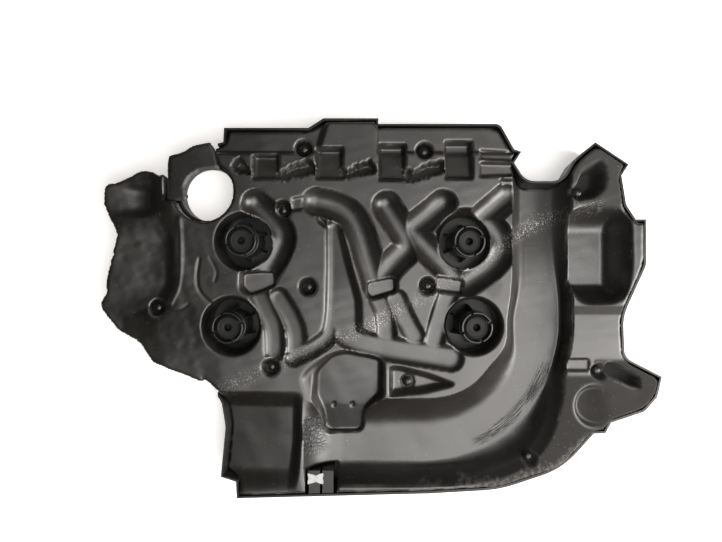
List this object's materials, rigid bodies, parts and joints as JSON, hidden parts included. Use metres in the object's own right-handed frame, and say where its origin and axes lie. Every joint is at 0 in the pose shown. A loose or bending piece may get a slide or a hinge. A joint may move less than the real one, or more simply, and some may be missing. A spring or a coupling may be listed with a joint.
{
  "type": "engine cover",
  "caption": "Underside of a moulded engine cover lined with dark acoustic foam that clears lines and a pipe, with rubber grommets on ribbed towers and an oil filler opening.",
  "frame": {"origin": "middle of the box round the part, at its lowest level, on the plane of the show face", "axes": "+X along the cover's length, away from the filler opening; +Y towards the rear edge with the pipe notch; +Z out of the show face through the foam, so the underside looks up"},
  "size_m": [0.708, 0.478, 0.072],
  "materials": {
    "shell_plastic": "satin black moulded nylon",
    "foam": "dark brown-grey moulded foam with a worn satin skin",
    "holder_plastic": "satin black nylon",
    "pin_plastic": "smooth black nylon",
    "grommet_rubber": "matt dark grey rubber",
    "tape": "white tape"
  },
  "bodies": {
    "root": {"cover_shell": "shell_plastic", "foam_pad": "foam", "filler_collar": "foam", "grommet_holders": "holder_plastic", "foam_pins": "pin_plastic", "rubber_grommets": "grommet_rubber", "tape_scrap": "tape"}
  },
  "joints": []
}
